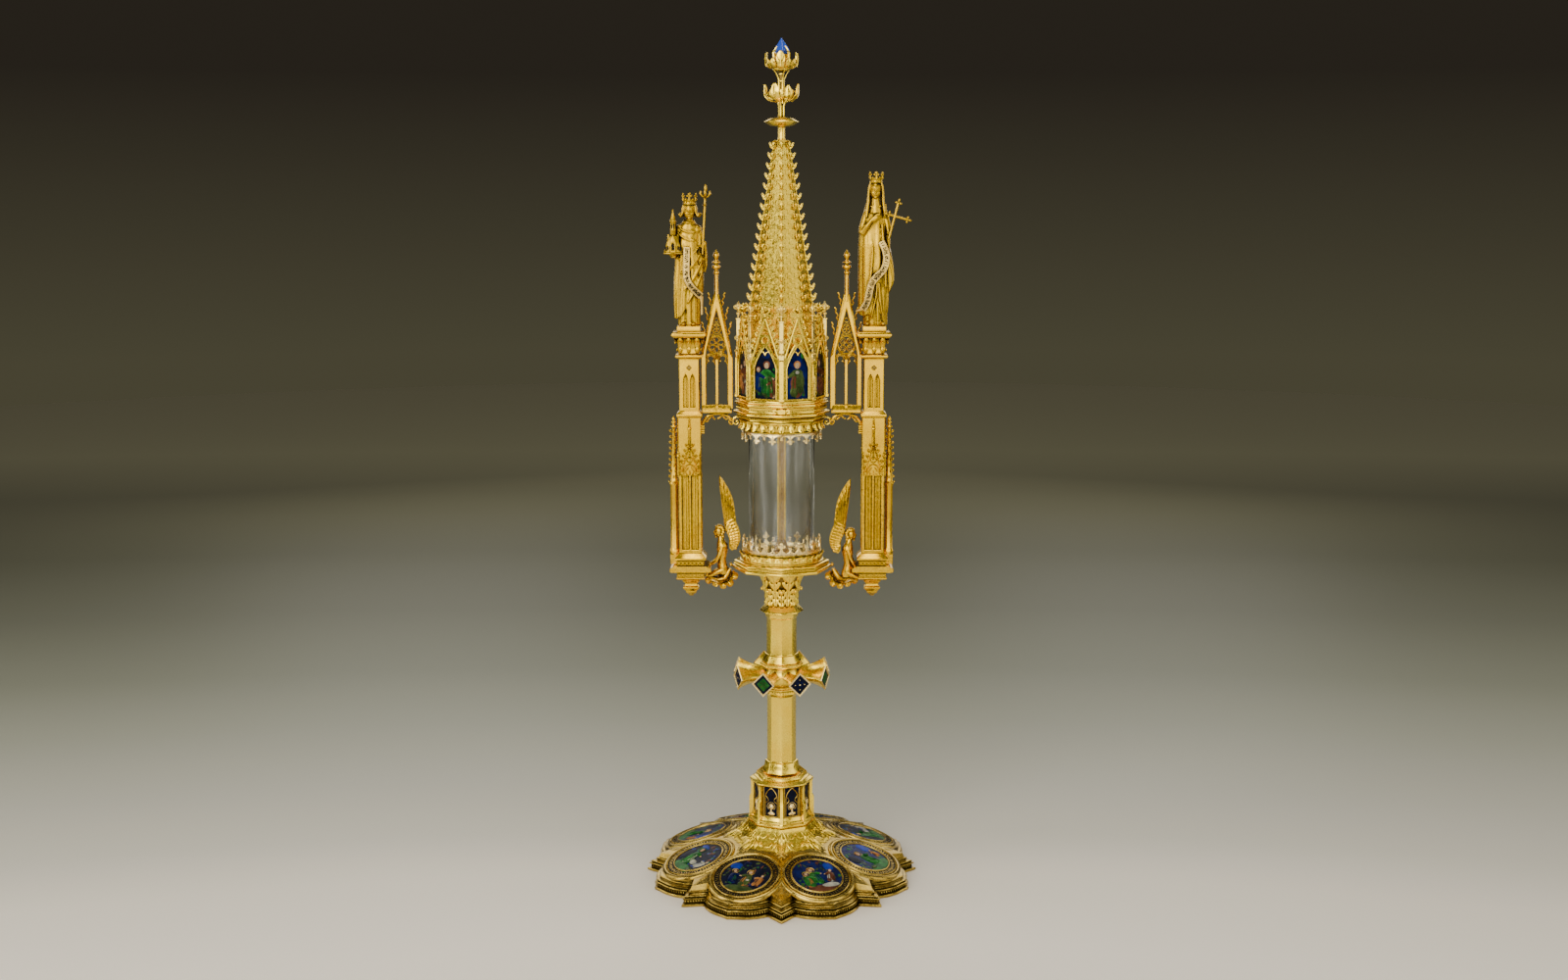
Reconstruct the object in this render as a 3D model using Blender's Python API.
"""Tower reliquary: an eight-lobed foot, an octagonal stem with a knop, a rock crystal
cylinder between two piers, and an enamelled lantern under a tiled spire.

Sizes are in millimetres and finish() scales each mesh to metres. The front is -Y, +X is
the viewer's right, and the origin is the centre of the foot on the table. Angles around
the axis start at the front and turn towards +X.
"""
import math

import bmesh
import bpy
from mathutils import Matrix, Vector

MM = 0.001                      # one millimetre in metres
GAP = 0.3                       # clearance between two pieces that touch
SIDES = 8                       # everything is set out on an octagon
SECTOR = math.tau / SIDES
HALF_SECTOR = SECTOR / 2
FLAT = math.cos(HALF_SECTOR)    # distance of an octagon's flat for a corner radius of 1

# Foot: pointed teeth on the corners, round lobes with a nib between them
TOOTH_TIP = 119.5
TOOTH_DEPTH = 16.0
TOOTH_HALF_WIDTH = 12.5
LOBE_CENTRE = 80.5
LOBE_RADIUS = 36.0
LOBE_NIB = 2.2
LOBE_STEPS = 3
FOOT_RIM = ((0.0, 0.0), (2.6, 0.0), (6.8, 1.2), (11.5, 6.8))
FIELD_INSET = 7.4               # the sloping fields start this far inside the outline
FIELD_RADIUS = 78.0             # centre of a medallion
FIELD_HEIGHT = 22.2
FIELD_TILT = math.radians(17.0)
FIELD_TOP = 52.0                # corner radius where the flare to the drum starts
FOOT_FLARE = ((41.0, 36.5), (33.0, 42.0), (29.0, 47.7))
FOOT_SHELL = 3.2
HOLLOW_RIM = ((98.0, 110.0), (96.0, 104.0))
HOLLOW_TOP = 50.0               # corner radius where the hollow leaves the sloping fields
HOLLOW_FLARE = ((38.0, 33.5), (26.0, 42.5))

MEDALLION_PROFILE = ((29.0, 0.0), (28.2, 2.2), (21.6, 1.5))
MEDALLION_SIDES = 12

# Turned octagons, as corner radius and height
DRUM_WALL = 24.4
DRUM_PROFILE = ((28.2, 48.0), (29.2, 49.4), (29.2, 51.2), (DRUM_WALL, 55.0),
                (DRUM_WALL, 84.4), (28.2, 85.4), (28.2, 86.6), (21.9, 90.2), (21.9, 92.5))
DRUM_BUTTRESS_HALF = 1.6
DRUM_BUTTRESS = ((23.0, 50.4), (28.7, 50.4), (27.4, 85.8), (23.0, 85.8))
STEM_LOWER_PROFILE = ((17.2, 92.8), (16.5, 95.0), (15.0, 101.6), (12.7, 103.0),
                      (12.7, 161.5), (14.0, 164.0), (15.4, 165.4), (15.4, 168.9))
KNOP_PROFILE = ((14.6, 169.2), (15.6, 171.0), (16.4, 180.7), (15.6, 187.5), (18.9, 189.4),
                (18.9, 191.6))
STEM_UPPER_PROFILE = ((17.4, 191.9), (16.4, 194.6), (13.6, 198.2), (13.0, 199.6),
                      (13.0, 231.0), (14.4, 232.6), (14.4, 237.0), (19.1, 237.4),
                      (19.1, 238.0), (13.2, 243.3))

PLAQUE_WIDTH = 11.6
PLAQUE_BASE = 57.8
PLAQUE_SPRING = 74.0
PLAQUE_TOP = 83.0
PLAQUE_DEPTH = 1.0

ARM_HEIGHT = 180.7
ARM_SECTIONS = ((8.0, 4.8), (29.0, 5.2), (41.3, 10.3))   # radius, half diagonal
ARM_FRAME = 8.6
ARM_RECESS = 0.9
KNOP_PLAQUE = ((0.0, 8.1), (0.5, 8.1), (1.1, 5.4))    # depth and half diagonal

# Foliage capital: corner leaves and flat leaves take turns, in two tiers
CAPITAL_SECTIONS = ((243.6, 13.0, 13.0), (256.0, 19.4, 15.6), (257.5, 16.2, 17.6),
                    (264.0, 18.4, 21.4), (270.5, 23.6, 23.4), (274.6, 21.4, 20.4))

PLATFORM_OCTAGON = ((40.6, 274.9), (43.0, 275.9), (43.0, 277.4), (41.0, 278.2),
                    (41.0, 280.8), (40.2, 282.5))
PLATFORM_ROUND = ((36.0, 282.5), (36.8, 285.4), (34.4, 289.8), (34.4, 291.7))
CAP_ROUND = ((33.4, 395.3), (33.6, 398.0), (36.4, 403.4), (36.4, 405.0))
CAP_OCTAGON = ((37.0, 405.0), (38.4, 406.4), (38.4, 409.0), (41.0, 410.4), (41.0, 412.0),
               (38.6, 412.6), (38.6, 417.6), (39.8, 418.4), (39.8, 420.0))
ROUND_SIDES = 16

CRYSTAL_OUTER = 28.2
CRYSTAL_INNER = 23.7
CRYSTAL_BOTTOM = 292.0
CRYSTAL_TOP = 395.0
CREST_COUNT = 14
CREST_OUTER = 33.9
CREST_INNER = 32.7
LOWER_CREST = (292.0, 11.2)     # height of its ring, and how far the fleurs stand from it
UPPER_CREST = (395.0, -8.6)
CREST_BAND = 0.2                # the ring's share of the height
CREST_FLEUR = ((0.08, 0.34), (0.26, 0.62), (0.0, 1.0))    # shares of pitch and height

RELIC_HALF = (3.5, 1.2)         # half width and half depth of the strip
RELIC_FOOT_HALF = (6.0, 4.0)
RELIC_FOOT_BAND = 293.6
RELIC_FOOT_TOP = 299.0

CLASP_HALF = 8.0
CLASP_BACK = 39.1
CLASP_THICK = 2.4
CLASP_BOTTOM = 412.9
CLASP_TOP = 417.3

# Lantern
LANTERN_BASE = ((39.0, 420.3), (37.6, 422.6))
WALL_BOTTOM = 423.4
WALL_TOP = 458.0
WALL_FLAT = 34.2                # distance of the wall's face from the axis
SHAFT_REACH = 39.2
SHAFT_HALF = 2.0
GABLE_BACK = 32.7
GABLE_HALF = 10.8
GABLE_APEX = 492.0
GABLE_FINIAL = 502.0
WINDOW_HALF = 9.6
WINDOW_BASE = 424.4
WINDOW_SPRING = 451.0
WINDOW_TOP = 469.0
WINDOW_DEPTH = 2.6
PINNACLE = ((457.6, 34.8, 38.2, 1.5), (459.4, 33.8, 39.4, 2.6), (462.0, 34.4, 37.6, 1.5),
            (490.0, 34.6, 37.4, 1.4), (504.5, 35.8, 36.2, 0.25))

SPIRE_SECTIONS = ((33.0, 458.3), (25.5, 503.6), (5.9, 637.0))    # corner radius, height
SPIRE_CROCKETS = 16
CROCKET_REACH = 3.6
CROCKET_LIFT = 1.2
RIDGE_HALF = 0.9

FINIAL_PROFILE = ((3.1, 637.3), (3.1, 647.6), (14.4, 651.2), (14.4, 652.8), (3.0, 656.4),
                  (2.6, 671.0), (1.5, 682.0), (1.3, 695.0), (6.4, 705.6), (6.4, 706.4))
LOWER_LEAF = ((0.5, 668.6, 0.8), (11.0, 683.4, 4.6), (17.2, 680.4, 1.0))
UPPER_LEAF = ((0.5, 693.6, 0.5), (8.6, 703.0, 4.0), (14.6, 711.4, 1.0))
LEAF_THICK = 0.9
LEAVES = 4
STONE_PROFILE = ((5.0, 706.8), (7.2, 710.0), (0.5, 720.0))

# Piers: half width and height, from the pendant to the plinth under the statue
PIER_X = 78.0
PIER_PENDANT = ((3.0, 250.2), (4.4, 254.6), (2.8, 256.4), (7.2, 260.0), (12.25, 267.4),
                (12.25, 273.2))
PIER_SLAB = (17.75, 273.2, 278.5)
PIER_BAND = ((12.25, 278.5), (12.25, 283.7), (13.5, 285.0), (9.5, 289.0))
PIER_LOWER = ((9.5, 404.6), (10.8, 407.3), (10.8, 409.6), (8.25, 412.0))
PIER_UPPER = ((8.25, 456.4), (11.5, 457.6), (11.5, 459.5), (9.0, 460.4), (9.4, 466.0),
              (13.0, 474.6), (14.4, 477.0), (13.2, 479.2), (9.75, 479.2), (9.75, 484.0))
PANEL_MARGIN = 2.6
PANEL_DEPTH = 1.0
PANEL_LEAST_AREA = 500.0        # only the shafts have sides as large as this
PIER_DEPTH_HALF = 13.6

# Outer buttress: inner and outer X, half depth and height
BUTTRESS_SECTIONS = ((91.9, 95.7, 4.6, 278.8), (91.9, 95.7, 4.6, 286.6),
                     (87.9, 95.7, 4.6, 290.6), (87.9, 95.5, 3.9, 346.0),
                     (87.8, 96.0, 4.4, 348.4), (88.5, 95.1, 3.4, 350.4),
                     (91.0, 92.6, 0.8, 398.0), (89.9, 93.7, 1.9, 401.6),
                     (91.4, 92.2, 0.4, 407.0))

# Tracery windows between the piers and the lantern
BAY_INNER_X = 40.4
BAY_OUTER_X = 69.4
BAY_LEDGE = (66.8, 412.6)       # the pier's ledge takes a step out of the outline here
SILL_INNER_X = 41.6
SIDE_SILL = ((-2.6, 409.6), (-4.6, 411.6), (-4.6, 414.0), (-2.4, 416.2))
HALF_ARCH = ((66.8, 404.0), (68.2, 401.6), (68.2, 392.0), (65.0, 402.0), (61.6, 405.6),
             (59.0, 402.8), (57.0, 407.0), (52.0, 407.0), (49.4, 404.2), (47.4, 407.0),
             (44.4, 402.4), (41.4, 399.2), (38.2, 402.6), (42.4, 406.6))
SIDE_SPRING = 457.2
SIDE_SHOULDER = 3.5             # keeps the gable clear of the pier's capital
SIDE_CROCKETS = (7.0, 481.5)
SIDE_APEX = 514.0
SIDE_PLATE = 1.5
LIGHT_CENTRE = 6.6
LIGHT_HALF = 4.3
LIGHT_SPRING = 445.0
LIGHT_TOP = 452.4
SIDE_DAGGER = ((2.6, 482.0), (0.0, 494.0), (-2.6, 482.0), (0.0, 478.0))
SIDE_TIP_HALF = 1.6
CROCKET_SWING = 2.6
ROSETTE_Z = 467.6
ROSETTE_R = 6.0
SIDE_SHAFT = ((2.1, 505.0), (1.9, 529.0), (3.6, 531.6), (1.9, 534.2), (3.6, 537.2),
              (1.7, 540.0), (2.9, 544.0), (0.6, 547.4))

# Figures: bodies as half width, half depth, height and fold; lines from the middle line
FIGURE_SIDES = 8
FIGURE_X = 79.0
HEAD_FORWARD = -1.0
ARM_RADII = (4.4, 3.0)
SCROLL_HALF = (2.4, 1.4)
KING_BODY = ((10.4, 7.6, 484.3, 0.14), (11.4, 8.2, 505.0, 0.18), (11.8, 8.0, 530.0, 0.14),
             (11.8, 7.4, 555.0, 0.04), (9.6, 5.8, 565.0), (3.4, 3.6, 571.0),
             (3.0, 3.2, 574.0))
KING_HEAD = ((3.4, 4.0, 571.8), (6.8, 6.2, 578.0), (6.2, 6.0, 587.0), (6.6, 6.6, 592.0),
             (5.0, 5.0, 594.6))
KING_CHURCH_OFF = 12.0
KING_CHURCH = ((6.4, 4.6, 541.0), (4.8, 3.8, 544.0), (4.8, 3.8, 556.0), (2.6, 2.6, 562.0),
               (0.4, 0.4, 581.0))
KING_ARM_CHURCH = ((-6.5, -0.4, 559.4), (-11.0, -4.4, 538.4))
KING_ARM_SCEPTRE = ((6.5, -0.6, 559.0), (12.6, -5.0, 544.6))
KING_SCEPTRE = ((11.2, -5.4, 532.0), (14.4, -5.4, 586.0), (14.7, -5.4, 591.0),
                (15.0, -5.4, 602.0))
KING_SCROLL = ((1.0, -7.0, 551.0), (2.0, -8.0, 530.0), (9.0, -6.8, 516.0),
               (14.4, -5.4, 504.0))
QUEEN_BODY = ((9.2, 7.2, 484.3, 0.14), (9.6, 7.4, 508.0, 0.18), (12.0, 7.8, 548.0, 0.12),
              (11.2, 6.8, 570.0, 0.04), (7.2, 5.4, 582.0), (7.0, 6.2, 597.0),
              (5.6, 5.6, 604.0), (6.6, 6.6, 608.8), (5.2, 5.2, 611.8))
QUEEN_ARM_CHEST = ((-9.6, -3.0, 556.0), (-1.0, -6.4, 567.0))
QUEEN_ARM_CROSS = ((7.5, -0.8, 570.0), (12.4, -5.0, 557.0))
QUEEN_CROSS_SHAFT = ((11.0, -5.2, 553.0), (19.0, -5.2, 580.0), (21.6, -5.2, 588.4))
QUEEN_CROSS_BEAM = ((12.4, -5.2, 579.2), (20.0, -5.2, 576.2), (27.4, -5.2, 573.2))
QUEEN_SCROLL = ((12.4, -6.2, 556.0), (9.4, -7.0, 532.0), (1.0, -7.0, 514.0),
                (-9.6, -4.6, 500.0))
ANGEL_SIDES = 6
ANGEL_SHIFT = {"left": (0.0, 0.0), "right": (5.8, -2.6)}     # outwards and up
ANGEL_BODY = ((48.8, 5.0, 5.4, 267.2), (48.6, 4.5, 5.0, 272.6, 0.10),
              (49.2, 3.2, 4.0, 280.4, 0.06), (48.4, 3.9, 4.4, 290.6), (49.4, 2.0, 2.0, 296.6),
              (51.6, 3.9, 3.8, 303.0), (51.6, 2.4, 2.4, 309.6))
ANGEL_LEG = ((47.8, -1.0, 272.6), (60.4, -1.0, 268.8))
ANGEL_LEG_RADII = (2.6, 1.8)
ANGEL_BRACKET = ((45.2, 0.0, 277.4), (49.0, 0.0, 270.5), (56.0, 0.0, 268.0),
                 (62.6, 0.0, 265.6))
ANGEL_BRACKET_RADII = (2.6, 4.0, 5.4, 3.4)
ANGEL_WING = ((47.8, 291.0), (47.4, 299.4), (45.6, 302.8), (47.8, 306.4), (48.8, 312.0),
              (48.5, 326.5), (48.2, 338.0), (48.8, 348.6), (50.0, 356.6), (44.4, 348.8),
              (39.2, 336.4), (38.4, 322.6), (38.8, 315.8), (36.0, 309.6), (34.9, 302.4),
              (36.0, 295.0), (40.6, 289.8), (43.8, 289.4))
ANGEL_WING_HALF = 1.6


def polar(radius, angle, height):
    """Point at a radius from the axis, with the angle starting at the front."""
    return Vector((radius * math.sin(angle), -radius * math.cos(angle), height))


def ring(radius, height, sides=SIDES, start=0.0):
    """Corners of a level polygon, one of them at the start angle."""
    return [polar(radius, start + math.tau * i / sides, height) for i in range(sides)]


def box_ring(half_x, half_y, height, centre_x=0.0, centre_y=0.0):
    """Corners of a level rectangle."""
    corners = ((-1, -1), (1, -1), (1, 1), (-1, 1))
    return [Vector((centre_x + sx * half_x, centre_y + sy * half_y, height))
            for sx, sy in corners]


def bridge(bm, lower, upper):
    """Faces between two closed loops whose counts are equal or a multiple of each other."""
    small, large = sorted((lower, upper), key=len)
    step = len(large) // len(small)
    for i in range(len(small)):
        j = (i + 1) % len(small)
        stretch = [large[(i * step + k) % len(large)] for k in range(step + 1)]
        if small is lower:
            bm.faces.new([small[i], small[j]] + stretch[::-1])
        else:
            bm.faces.new(stretch + [small[j], small[i]])


def loft(bm, rings, closed=False):
    """Skin over a list of loops, with flat ends, or joined end to end when closed."""
    loops = [[bm.verts.new(point) for point in points] for points in rings]
    for lower, upper in zip(loops, loops[1:]):
        bridge(bm, lower, upper)
    if closed:
        bridge(bm, loops[-1], loops[0])
    else:
        bm.faces.new(loops[0][::-1])
        bm.faces.new(loops[-1])
    return loops


def turned(profile, sides=SIDES, start=0.0):
    """Solid with a regular polygon at each radius and height of the profile."""
    bm = bmesh.new()
    loft(bm, [ring(radius, height, sides, start) for radius, height in profile])
    return bm


def plate(outline, holes, front, back):
    """Upright plate between two depths in Y, from outlines in X and Z, with its holes."""
    bm = bmesh.new()
    for loop in [outline, *holes]:
        verts = [bm.verts.new((x, front, z)) for x, z in loop]
        for a, b in zip(verts, verts[1:] + verts[:1]):
            bm.edges.new((a, b))
    bmesh.ops.triangle_fill(bm, use_beauty=True, edges=bm.edges[:], normal=(0, -1, 0))
    region = bmesh.ops.extrude_face_region(bm, geom=bm.faces[:])
    pushed = [item for item in region["geom"] if isinstance(item, bmesh.types.BMVert)]
    bmesh.ops.translate(bm, vec=(0, back - front, 0), verts=pushed)
    return bm


def lancet(half, base, spring, top, centre=0.0, steps=2):
    """Outline of a pointed arch, as points in X and Z."""
    rise = top - spring
    radius = (half * half + rise * rise) / (2 * half)
    end = math.atan2(rise, radius - half)
    arc = [(half - radius + radius * math.cos(end * i / steps),
            spring + radius * math.sin(end * i / steps)) for i in range(steps + 1)]
    right = [(half, base)] + arc[:-1] + [(0.0, top)]
    left = [(-x, z) for x, z in right[-2::-1]]
    return [(centre + x, z) for x, z in right + left]


def finish(name, bm, material, place=None, smooth=None):
    """Turn a mesh in millimetres into a named object in metres."""
    if place is not None:
        bmesh.ops.transform(bm, matrix=place, verts=bm.verts)
    bmesh.ops.recalc_face_normals(bm, faces=bm.faces)
    bmesh.ops.scale(bm, vec=(MM, MM, MM), verts=bm.verts)
    mesh = bpy.data.meshes.new(name)
    bm.to_mesh(mesh)
    bm.free()
    mesh.materials.append(material)
    if smooth is not None:
        mesh.shade_smooth()
        mesh.set_sharp_from_angle(angle=math.radians(smooth))
    obj = bpy.data.objects.new(name, mesh)
    bpy.context.scene.collection.objects.link(obj)
    return obj


def copies(name, shape, radius, height, tilt=0.0):
    """One object on each flat of the octagon, all with the mesh of the given shape."""
    mesh = shape.data
    bpy.data.objects.remove(shape)
    for i in range(SIDES):
        obj = bpy.data.objects.new(f"{name}_{i + 1}", mesh)
        angle = (i + 0.5) * SECTOR
        obj.location = polar(radius, angle, height) * MM
        obj.rotation_euler = (tilt, 0.0, angle)
        bpy.context.scene.collection.objects.link(obj)


def cutter(name, bm, material, place=None):
    """A helper solid for a Boolean, which is not a piece of the reliquary."""
    obj = finish(name, bm, material, place)
    obj.hide_render = True
    obj.display_type = 'WIRE'
    return obj


def boolean(obj, operation, pieces):
    """Join closed pieces to an object, or cut them from it, with one modifier."""
    group = bpy.data.collections.new(f"{obj.name}_{operation.lower()}")
    bpy.context.scene.collection.children.link(group)
    for piece in pieces:
        bpy.context.scene.collection.objects.unlink(piece)
        group.objects.link(piece)
    modifier = obj.modifiers.new(operation.title(), 'BOOLEAN')
    modifier.operation = operation
    modifier.operand_type = 'COLLECTION'
    modifier.collection = group
    modifier.solver = 'EXACT'


def facing(angle, radius=0.0):
    """Placement of a front-facing shape turned around the axis and moved outwards."""
    return Matrix.Rotation(angle, 4, 'Z') @ Matrix.Translation((0, -radius, 0))


def make_material(name, color, metallic, roughness, transmission=0.0):
    material = bpy.data.materials.new(name)
    material.use_nodes = True
    shader = material.node_tree.nodes["Principled BSDF"]
    shader.inputs["Base Color"].default_value = (*color, 1.0)
    shader.inputs["Metallic"].default_value = metallic
    shader.inputs["Roughness"].default_value = roughness
    shader.inputs["Transmission Weight"].default_value = transmission
    return material


# Foot ---------------------------------------------------------------------------------

def field_height(radius, angle):
    """Height of the sloping field at a point given from its own middle line."""
    return FIELD_HEIGHT - (radius * math.cos(angle) - FIELD_RADIUS) * math.tan(FIELD_TILT)


def foot_outline(inset):
    """The outline moved inwards, as radius and angle over one sector from tooth to tooth."""
    slope = math.atan2(TOOTH_HALF_WIDTH, TOOTH_DEPTH)
    tip = Vector((TOOTH_TIP - inset / math.sin(slope), 0.0))
    side = Vector((-math.cos(slope), math.sin(slope)))
    centre = LOBE_CENTRE * Vector((math.cos(HALF_SECTOR), math.sin(HALF_SECTOR)))
    radius = LOBE_RADIUS - inset
    along = (centre - tip).dot(side)
    off = (centre - tip - along * side).length
    corner = tip + side * (along - math.sqrt(radius * radius - off * off))
    start = (corner - centre).angle_signed(Vector((math.cos(HALF_SECTOR),
                                                   math.sin(HALF_SECTOR))))
    points = [tip, corner]
    for step in range(1, LOBE_STEPS):
        turn = HALF_SECTOR - abs(start) * (1 - step / LOBE_STEPS)
        points.append(centre + radius * Vector((math.cos(turn), math.sin(turn))))
    half = [(point.length, math.atan2(point.y, point.x)) for point in points]
    nib = (LOBE_CENTRE + radius + LOBE_NIB, HALF_SECTOR)
    mirrored = [(length, SECTOR - angle) for length, angle in half[:0:-1]]
    return half + [nib] + mirrored


def foot_ring(inset, height=None):
    """One level loop of the foot, or a loop lying on the sloping fields."""
    points = []
    for i in range(SIDES):
        for radius, angle in foot_outline(inset):
            level = field_height(radius, angle - HALF_SECTOR) if height is None else height
            points.append(polar(radius, i * SECTOR + angle, level))
    return points


def hollow_ring(corner, flat, height=None):
    """Loop of the hollow underneath, with its own radius on corners and flats."""
    points = []
    for i in range(2 * SIDES):
        radius = (corner, flat)[i % 2]
        off = (HALF_SECTOR, 0.0)[i % 2]
        level = field_height(radius, off) - FOOT_SHELL if height is None else height
        points.append(polar(radius, i * HALF_SECTOR, level))
    return points


def make_foot(material):
    """Raised sheet, skinned from the top of the hollow, round the rim and up to the drum."""
    top_level = field_height(FIELD_TOP, HALF_SECTOR)
    outside = [foot_ring(inset, height) for height, inset in FOOT_RIM]
    outside.append(foot_ring(FIELD_INSET))
    outside.append(ring(FIELD_TOP, top_level))
    outside += [ring(radius, height) for radius, height in FOOT_FLARE]
    inside = [hollow_ring(*HOLLOW_RIM[0], height=0.0), hollow_ring(*HOLLOW_RIM[1])]
    inside.append(ring(HOLLOW_TOP, field_height(HOLLOW_TOP, HALF_SECTOR) - FOOT_SHELL))
    inside += [ring(radius, height) for radius, height in HOLLOW_FLARE]
    bm = bmesh.new()
    loft(bm, inside[::-1] + outside)
    finish("foot", bm, material)


def make_medallions(material):
    bm = turned(MEDALLION_PROFILE, sides=MEDALLION_SIDES)
    shape = finish("foot_medallion_shape", bm, material)
    copies("foot_medallion", shape, FIELD_RADIUS + GAP * math.sin(FIELD_TILT),
           FIELD_HEIGHT + GAP * math.cos(FIELD_TILT), FIELD_TILT)


# Drum and stem ------------------------------------------------------------------------

def make_drum(material, enamel):
    drum = finish("drum", turned(DRUM_PROFILE), material)
    buttresses = []
    for i in range(SIDES):
        bm = bmesh.new()
        loft(bm, [[Vector((side, -radius, height)) for radius, height in DRUM_BUTTRESS]
                  for side in (-DRUM_BUTTRESS_HALF, DRUM_BUTTRESS_HALF)])
        buttresses.append(cutter(f"drum_buttress_{i + 1}", bm, material, facing(i * SECTOR)))
    boolean(drum, 'UNION', buttresses)
    window = lancet(PLAQUE_WIDTH / 2, 0.0, PLAQUE_SPRING - PLAQUE_BASE,
                    PLAQUE_TOP - PLAQUE_BASE, steps=1)
    shape = finish("drum_plaque_shape", plate(window, [], 0.0, PLAQUE_DEPTH), enamel)
    copies("drum_plaque", shape, DRUM_WALL * FLAT + GAP + PLAQUE_DEPTH, PLAQUE_BASE)


def lozenge(radius, half):
    """Upright square on its corner, facing the front at a radius."""
    return [Vector((x * half, -radius, ARM_HEIGHT + z * half))
            for x, z in ((0, -1), (1, 0), (0, 1), (-1, 0))]


def make_knop(material, enamel):
    knop = finish("knop", turned(KNOP_PROFILE), material)
    arms = []
    end = ARM_SECTIONS[-1][0]
    for i in range(SIDES):
        bm = bmesh.new()
        sections = [lozenge(radius, half) for radius, half in ARM_SECTIONS]
        sections += [lozenge(end, ARM_FRAME), lozenge(end - ARM_RECESS, ARM_FRAME)]
        loft(bm, sections)
        turn = facing((i + 0.5) * SECTOR)
        arms.append(cutter(f"knop_arm_{i + 1}", bm, material, turn))
    boolean(knop, 'UNION', arms)
    bm = bmesh.new()
    loft(bm, [lozenge(depth, half) for depth, half in KNOP_PLAQUE])
    shape = finish("knop_plaque_shape", bm, enamel, Matrix.Translation((0, 0, -ARM_HEIGHT)))
    copies("knop_plaque", shape, end - ARM_RECESS + GAP, ARM_HEIGHT)


def make_capital(material):
    bm = bmesh.new()
    loft(bm, [[polar((corner, flat)[i % 2], i * HALF_SECTOR, height)
               for i in range(2 * SIDES)] for height, corner, flat in CAPITAL_SECTIONS])
    finish("capital", bm, material)


# Crystal between the platform and the cap ------------------------------------------------

def make_platform(material):
    rings = [ring(radius, height) for radius, height in PLATFORM_OCTAGON]
    rings += [ring(radius, height, ROUND_SIDES) for radius, height in PLATFORM_ROUND]
    bm = bmesh.new()
    loft(bm, rings)
    finish("platform", bm, material)


def make_cap(material):
    rings = [ring(radius, height, ROUND_SIDES) for radius, height in CAP_ROUND]
    rings += [ring(radius, height) for radius, height in CAP_OCTAGON]
    bm = bmesh.new()
    loft(bm, rings)
    finish("cap", bm, material)


def make_cresting(name, base, reach, start, material):
    """A ring with fleurs, whose bays are set out flat and bent around the axis."""
    pitch = math.tau / CREST_COUNT
    fleur = [(-x, z) for x, z in CREST_FLEUR[:-1]] + [(x, z) for x, z in CREST_FLEUR[::-1]]
    bay = [(-0.5, 0.0), (-0.5, CREST_BAND), *fleur]
    bm = bmesh.new()

    def wall(radius):
        return [[bm.verts.new(polar(radius, start + (i + x) * pitch, base + z * reach))
                 for x, z in bay] for i in range(CREST_COUNT)]

    outer, inner = wall(CREST_OUTER), wall(CREST_INNER)
    for i in range(CREST_COUNT):
        outline = outer[i] + outer[(i + 1) % CREST_COUNT][1::-1]
        lining = inner[i] + inner[(i + 1) % CREST_COUNT][1::-1]
        bm.faces.new(outline)
        bm.faces.new(lining)
        bm.faces.new((outline[0], outline[-1], lining[-1], lining[0]))
        for k in range(1, len(outline) - 2):
            bm.faces.new((outline[k], outline[k + 1], lining[k + 1], lining[k]))
    finish(name, bm, material)


def make_crystal(material):
    bm = bmesh.new()
    walls = ((CRYSTAL_OUTER, CRYSTAL_BOTTOM), (CRYSTAL_OUTER, CRYSTAL_TOP),
             (CRYSTAL_INNER, CRYSTAL_TOP), (CRYSTAL_INNER, CRYSTAL_BOTTOM))
    loft(bm, [ring(radius, height, ROUND_SIDES) for radius, height in walls], closed=True)
    finish("crystal", bm, material, smooth=30)


def make_relic(material):
    bm = bmesh.new()
    loft(bm, [box_ring(*RELIC_FOOT_HALF, CRYSTAL_BOTTOM),
              box_ring(*RELIC_FOOT_HALF, RELIC_FOOT_BAND),
              box_ring(*RELIC_HALF, RELIC_FOOT_TOP),
              box_ring(*RELIC_HALF, CRYSTAL_TOP - GAP)])
    finish("relic", bm, material)


def make_clasp(material):
    """Fixed block that wraps the front corner of the gallery, in its groove."""
    slant = CLASP_HALF * math.tan(HALF_SECTOR)
    inner = [(-CLASP_HALF, slant - CLASP_BACK), (0.0, -CLASP_BACK),
             (CLASP_HALF, slant - CLASP_BACK)]
    outer = [(x, y - CLASP_THICK) for x, y in inner]
    bm = bmesh.new()
    outline = outer + inner[::-1]
    loft(bm, [[Vector((x, y, height)) for x, y in outline]
              for height in (CLASP_BOTTOM, CLASP_TOP)])
    finish("clasp", bm, material)


# Lantern and spire ------------------------------------------------------------------------

def wall_ring(height):
    """Section of the lantern wall, with a square shaft on every corner."""
    inner = (WALL_FLAT - SHAFT_HALF * math.sin(HALF_SECTOR)) / FLAT
    points = []
    for i in range(SIDES):
        turn = facing(i * SECTOR)
        points += [turn @ Vector((x, -y, height)) for x, y in (
            (-SHAFT_HALF, inner), (-SHAFT_HALF, SHAFT_REACH),
            (SHAFT_HALF, SHAFT_REACH), (SHAFT_HALF, inner))]
    return points[3:] + points[:3]


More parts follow.
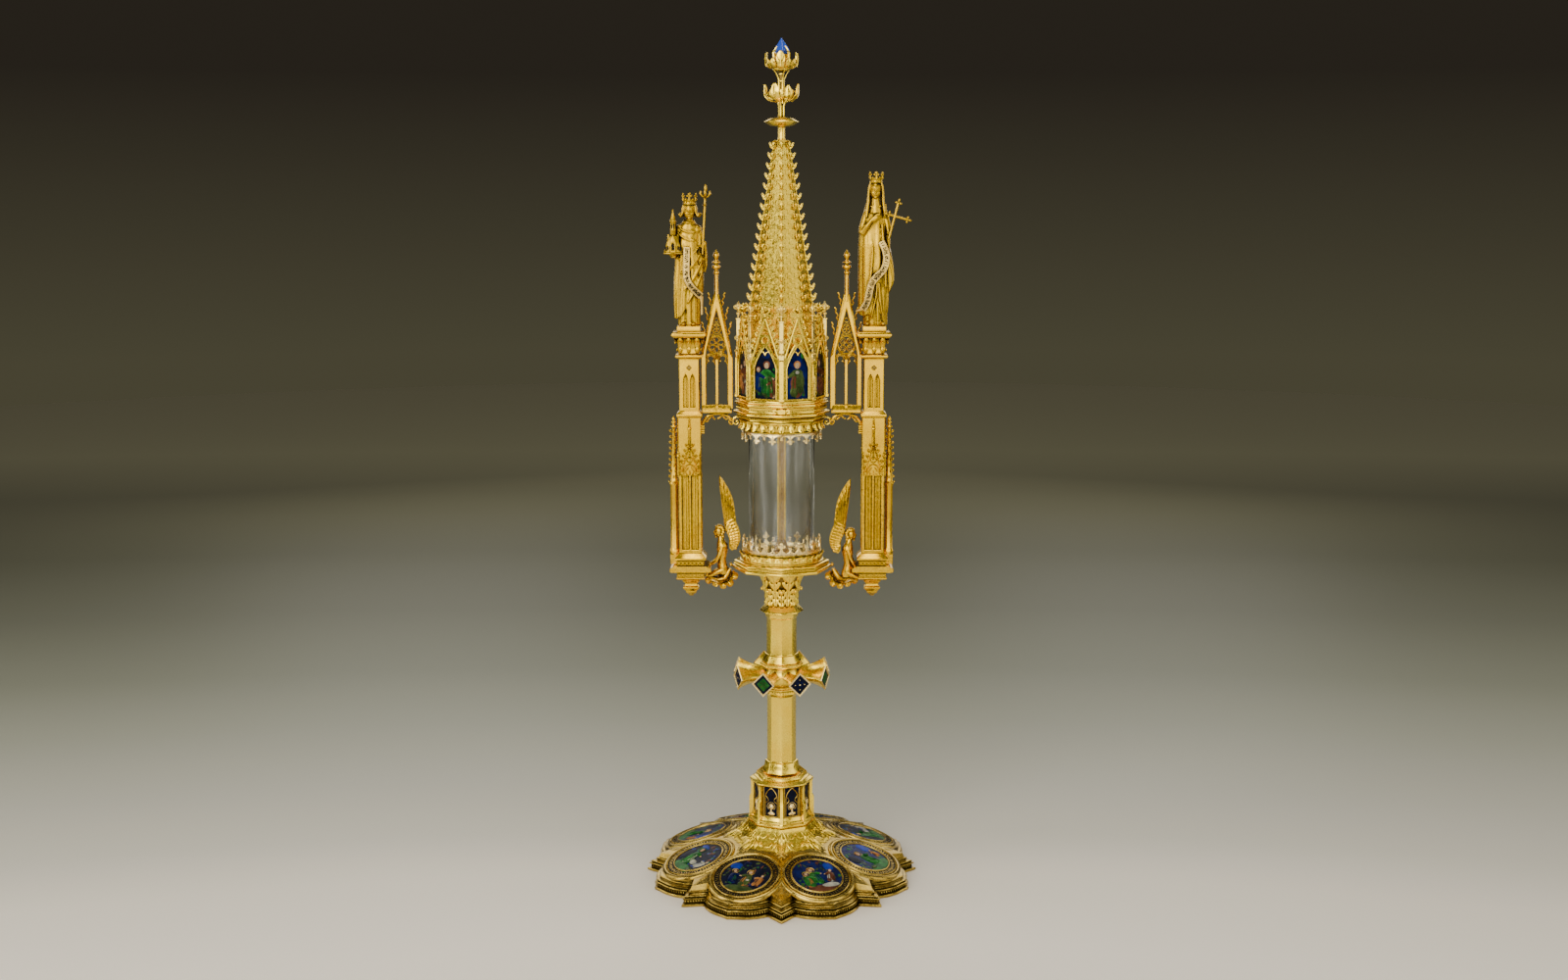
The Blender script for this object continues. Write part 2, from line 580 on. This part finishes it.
def make_lantern(material, enamel):
    bm = bmesh.new()
    loft(bm, [ring(radius, height) for radius, height in LANTERN_BASE]
         + [wall_ring(WALL_BOTTOM), wall_ring(WALL_TOP)])
    lantern = finish("lantern", bm, material)
    gable = [(-GABLE_HALF, WALL_TOP - 1.0), (GABLE_HALF, WALL_TOP - 1.0),
             (1.1, GABLE_APEX), (0.0, GABLE_FINIAL), (-1.1, GABLE_APEX)]
    window = lancet(WINDOW_HALF, WINDOW_BASE, WINDOW_SPRING, WINDOW_TOP)
    tops = []
    pockets = []
    for i in range(SIDES):
        turn = facing((i + 0.5) * SECTOR)
        bm = plate(gable, [], -WALL_FLAT + 0.1, -GABLE_BACK)
        tops.append(cutter(f"lantern_gable_{i + 1}", bm, material, turn))
        bm = bmesh.new()
        loft(bm, [box_ring(half, (outer - inner) / 2, height, 0.0, -(outer + inner) / 2)
                  for height, inner, outer, half in PINNACLE])
        tops.append(cutter(f"lantern_pinnacle_{i + 1}", bm, material, facing(i * SECTOR)))
        bm = plate(window, [], -WALL_FLAT - 1.0, -WALL_FLAT + WINDOW_DEPTH)
        pockets.append(cutter(f"lantern_window_{i + 1}", bm, material, turn))
    boolean(lantern, 'UNION', tops)
    boolean(lantern, 'DIFFERENCE', pockets)
    panel = lancet(WINDOW_HALF - GAP, 0.0, WINDOW_SPRING - WINDOW_BASE - GAP,
                   WINDOW_TOP - WINDOW_BASE - 2 * GAP)
    shape = finish("lantern_plaque_shape", plate(panel, [], 0.0, PLAQUE_DEPTH), enamel)
    copies("lantern_plaque", shape, WALL_FLAT - WINDOW_DEPTH + PLAQUE_DEPTH + GAP,
           WINDOW_BASE + GAP)


def ridged_ring(radius, height):
    """Octagon with each corner cut to a narrow ridge."""
    inset = radius - RIDGE_HALF * math.tan(HALF_SECTOR)
    points = []
    for i in range(SIDES):
        turn = facing(i * SECTOR)
        points += [turn @ Vector((x, -inset, height)) for x in (-RIDGE_HALF, RIDGE_HALF)]
    return points


def make_spire(material):
    """Octagonal spire whose ridges are strips of small quads poked out into crockets."""
    low, waist, top = [Vector(section) for section in SPIRE_SECTIONS]
    shares = [step / SPIRE_CROCKETS for step in range(SPIRE_CROCKETS + 1)]
    rings = [ridged_ring(*low)] + [ridged_ring(*waist.lerp(top, share)) for share in shares]
    bm = bmesh.new()
    loops = [[bm.verts.new(point) for point in points] for points in rings]
    count = 2 * SIDES
    for lower, upper in zip(loops, loops[1:]):
        for i in range(0, count, 2):
            quad = bm.faces.new((lower[i], lower[i + 1], upper[i + 1], upper[i]))
            if lower is not loops[0]:
                crocket = bmesh.ops.poke(bm, faces=[quad])["verts"][0]
                outward = Vector((crocket.co.x, crocket.co.y, 0)).normalized()
                crocket.co += outward * CROCKET_REACH + Vector((0, 0, CROCKET_LIFT))
    for i in range(1, count, 2):
        j = (i + 1) % count
        bm.faces.new([loop[i] for loop in loops[1:]] + [loop[j] for loop in loops[:0:-1]])
        bm.faces.new((loops[0][i], loops[0][j], loops[1][j], loops[1][i]))
    bm.faces.new(loops[0][::-1])
    bm.faces.new(loops[-1])
    finish("spire", bm, material)


def leaf(sections, angle):
    """Curved leaf of a whorl, from radius, height and half width."""
    bm = bmesh.new()
    rings = []
    for radius, height, half in sections:
        rings.append([Vector((side * half, -radius, height + lift))
                      for side, lift in ((-1, -LEAF_THICK), (1, -LEAF_THICK),
                                         (1, LEAF_THICK), (-1, LEAF_THICK))])
    loft(bm, rings)
    bmesh.ops.transform(bm, matrix=facing(angle), verts=bm.verts)
    return bm


def make_finial(material, stone):
    finial = finish("finial", turned(FINIAL_PROFILE), material)
    leaves = []
    for i in range(LEAVES):
        angle = (i + 0.5) * math.tau / LEAVES
        leaves.append(cutter(f"finial_leaf_low_{i + 1}", leaf(LOWER_LEAF, angle), material))
        leaves.append(cutter(f"finial_leaf_top_{i + 1}", leaf(UPPER_LEAF, angle), material))
    boolean(finial, 'UNION', leaves)
    finish("finial_stone", turned(STONE_PROFILE), stone)


# Piers, buttresses and side windows -----------------------------------------------------

def make_pier(name, side, material):
    x = side * PIER_X
    slab_half, slab_low, slab_high = PIER_SLAB
    profile = [*PIER_PENDANT, (slab_half, slab_low), (slab_half, slab_high), *PIER_BAND,
               *PIER_LOWER, *PIER_UPPER]
    bm = bmesh.new()
    loft(bm, [box_ring(half, min(half, PIER_DEPTH_HALF), height, x)
              for half, height in profile])
    shafts = [face for face in bm.faces
              if face.calc_area() > PANEL_LEAST_AREA and abs(face.normal.z) < 0.1]
    for face in shafts:
        bmesh.ops.inset_individual(bm, faces=[face], thickness=PANEL_MARGIN,
                                   depth=-PANEL_DEPTH)
    finish(name, bm, material)


def make_buttress(name, side, material):
    bm = bmesh.new()
    loft(bm, [box_ring((outer - inner) / 2, half, height, side * (inner + outer) / 2)
              for inner, outer, half, height in BUTTRESS_SECTIONS])
    finish(name, bm, material)


def crockets(count, start, end, swing):
    """Points along a slope, with a small outward bump for each crocket."""
    (x0, z0), (x1, z1) = start, end
    points = [start]
    for i in range(count):
        for share, out in ((0.4, 0.0), (0.7, swing)):
            t = (i + share) / count
            points.append((x0 + (x1 - x0) * t + out, z0 + (z1 - z0) * t + out * 0.3))
    return points + [end]


def make_side_window(name, side, material):
    """Two lights under a gable, and the cusped half arch that carries the sill."""
    middle = (BAY_INNER_X + BAY_OUTER_X) / 2
    half = (BAY_OUTER_X - BAY_INNER_X) / 2
    sill_top = SIDE_SILL[-1][1]
    gable = [(half, SIDE_SPRING - 1.4), (half - SIDE_SHOULDER, SIDE_SPRING)]
    gable += crockets(3, SIDE_CROCKETS, (SIDE_TIP_HALF, SIDE_APEX), CROCKET_SWING)
    right = [(half, BAY_LEDGE[1]), *gable]
    left = [(-x, z) for x, z in gable[::-1]]
    arch = [(x - middle, z) for x, z in (BAY_LEDGE, *HALF_ARCH)][::-1]
    outline = right + left + arch
    lights = [lancet(LIGHT_HALF, sill_top, LIGHT_SPRING, LIGHT_TOP, centre)
              for centre in (-LIGHT_CENTRE, LIGHT_CENTRE)]
    rosette = [(ROSETTE_R * math.cos(i * math.tau / 8),
                ROSETTE_Z + ROSETTE_R * math.sin(i * math.tau / 8)) for i in range(8)]
    flip = Matrix.Diagonal((side, 1, 1, 1))
    place = flip @ Matrix.Translation((middle, 0, 0))
    bm = plate(outline, [*lights, rosette, SIDE_DAGGER], -SIDE_PLATE, SIDE_PLATE)
    window = finish(name, bm, material, place)
    sill = bmesh.new()
    profile = [(y, z) for y, z in SIDE_SILL] + [(-y, z) for y, z in SIDE_SILL[::-1]]
    loft(sill, [[Vector((x, y, z)) for y, z in profile]
                for x in (SILL_INNER_X - middle, BAY_LEDGE[0] - middle)])
    shaft = turned(SIDE_SHAFT, sides=4)
    boolean(window, 'UNION', [cutter(f"{name}_sill", sill, material, place),
                              cutter(f"{name}_shaft", shaft, material, place)])


# Figures --------------------------------------------------------------------------------

def fold_ring(x, y, half_x, half_y, height, fold=0.0, sides=FIGURE_SIDES):
    """Level loop of a robed figure, with alternate corners drawn in as folds."""
    points = []
    for i in range(sides):
        angle = math.tau * i / sides
        reach = 1.0 - fold * (i % 2)
        points.append(Vector((x + half_x * reach * math.sin(angle),
                              y - half_y * reach * math.cos(angle), height)))
    return points


def rod(points, radii, sides=5):
    """Closed tube along a polyline, whose section turns with it and does not twist."""
    bm = bmesh.new()
    path = [Vector(point) for point in points]
    rings = []
    tangent = Vector((0, 0, 1))
    turn = Matrix.Identity(3)
    for i, point in enumerate(path):
        ahead = path[min(i + 1, len(path) - 1)] - path[max(i - 1, 0)]
        turn = tangent.rotation_difference(ahead).to_matrix() @ turn
        tangent = ahead
        rings.append([point + turn @ polar(radii[i], math.tau * k / sides, 0)
                      for k in range(sides)])
    loft(bm, rings)
    return bm


def ribbon(points, half_width, half_thick):
    """Scroll of writing: a flat band along a line in front of the figure."""
    bm = bmesh.new()
    loft(bm, [[Vector((x + sx * half_width, y + sy * half_thick, z + sx * half_width * 0.4))
               for sx, sy in ((-1, -1), (1, -1), (1, 1), (-1, 1))] for x, y, z in points])
    return bm


def lofted(sections, x, y=0.0, sides=FIGURE_SIDES):
    """Robed body or head, from half width, half depth, height and fold."""
    bm = bmesh.new()
    loft(bm, [fold_ring(x, y, *section, sides=sides) for section in sections])
    return bm


def moved(points, x):
    """Points given from a figure's middle line, moved to where the figure stands."""
    return [(x + dx, y, z) for dx, y, z in points]


def make_king(material):
    x = -FIGURE_X
    king = finish("statue_king", lofted(KING_BODY, x), material)
    church = bmesh.new()
    loft(church, [box_ring(half_x, half_y, height, x - KING_CHURCH_OFF, -4.0)
                  for half_x, half_y, height in KING_CHURCH])
    pieces = {"head": lofted(KING_HEAD, x, HEAD_FORWARD), "church": church,
              "arm_church": rod(moved(KING_ARM_CHURCH, x), ARM_RADII),
              "arm_sceptre": rod(moved(KING_ARM_SCEPTRE, x), ARM_RADII),
              "sceptre": rod(moved(KING_SCEPTRE, x), (0.9, 0.9, 2.4, 1.2), sides=4),
              "scroll": ribbon(moved(KING_SCROLL, x), *SCROLL_HALF)}
    boolean(king, 'UNION', [cutter(f"king_{label}", bm, material)
                            for label, bm in pieces.items()])


def make_queen(material):
    x = FIGURE_X
    queen = finish("statue_queen", lofted(QUEEN_BODY, x), material)
    pieces = {"arm_chest": rod(moved(QUEEN_ARM_CHEST, x), (3.6, 2.4)),
              "arm_cross": rod(moved(QUEEN_ARM_CROSS, x), ARM_RADII),
              "cross_shaft": rod(moved(QUEEN_CROSS_SHAFT, x), (0.9, 1.0, 2.2), sides=4),
              "cross_beam": rod(moved(QUEEN_CROSS_BEAM, x), (1.9, 0.9, 1.9), sides=4),
              "scroll": ribbon(moved(QUEEN_SCROLL, x), *SCROLL_HALF)}
    boolean(queen, 'UNION', [cutter(f"queen_{label}", bm, material)
                             for label, bm in pieces.items()])


def make_angel(name, side, shift, material):
    """Kneeling angel on a leafy bracket between the pier's foot and the platform."""
    out, up = shift

    def mirrored(points):
        return [(side * x, *rest) for x, *rest in points]

    angel = finish(name, rod(mirrored(ANGEL_BRACKET), ANGEL_BRACKET_RADII), material)
    body = bmesh.new()
    loft(body, [fold_ring(side * (x + out), 0.0, half_x, half_y, height + up, *fold,
                          sides=ANGEL_SIDES)
                for x, half_x, half_y, height, *fold in ANGEL_BODY])
    wing = plate(mirrored([(x + out, z + up) for x, z in ANGEL_WING]), [],
                 -ANGEL_WING_HALF, ANGEL_WING_HALF)
    hip, foot = ANGEL_LEG
    leg = rod(mirrored([(hip[0] + out, hip[1], hip[2] + up), foot]), ANGEL_LEG_RADII)
    boolean(angel, 'UNION', [cutter(f"{name}_body", body, material),
                             cutter(f"{name}_wing", wing, material),
                             cutter(f"{name}_leg", leg, material)])


def main():
    for obj in list(bpy.data.objects):
        bpy.data.objects.remove(obj, do_unlink=True)
    gilt = make_material("gilt", (0.83, 0.60, 0.22), 1.0, 0.28)
    antique = make_material("antique_gilt", (0.46, 0.36, 0.15), 1.0, 0.42)
    pale = make_material("silver_gilt", (0.80, 0.72, 0.50), 1.0, 0.32)
    enamel = make_material("enamel", (0.02, 0.05, 0.22), 0.0, 0.18)
    crystal = make_material("crystal", (0.96, 0.97, 0.98), 0.0, 0.03, transmission=1.0)
    relic = make_material("relic", (0.42, 0.27, 0.12), 0.0, 0.60)
    stone = make_material("blue_stone", (0.03, 0.08, 0.32), 0.0, 0.10)
    make_foot(antique)
    make_medallions(enamel)
    make_drum(antique, enamel)
    finish("stem_lower", turned(STEM_LOWER_PROFILE), gilt)
    make_knop(gilt, enamel)
    finish("stem_upper", turned(STEM_UPPER_PROFILE), gilt)
    make_capital(gilt)
    make_platform(gilt)
    make_cresting("cresting_lower", *LOWER_CREST, 0.0, pale)
    make_crystal(crystal)
    make_relic(relic)
    make_cresting("cresting_upper", *UPPER_CREST, math.pi / CREST_COUNT, pale)
    make_cap(gilt)
    make_clasp(gilt)
    make_lantern(gilt, enamel)
    make_spire(gilt)
    make_finial(gilt, stone)
    for label, side in (("left", -1), ("right", 1)):
        make_pier(f"pier_{label}", side, gilt)
        make_buttress(f"buttress_{label}", side, gilt)
        make_side_window(f"window_{label}", side, gilt)
        make_angel(f"angel_{label}", side, ANGEL_SHIFT[label], gilt)
    make_king(gilt)
    make_queen(gilt)


main()
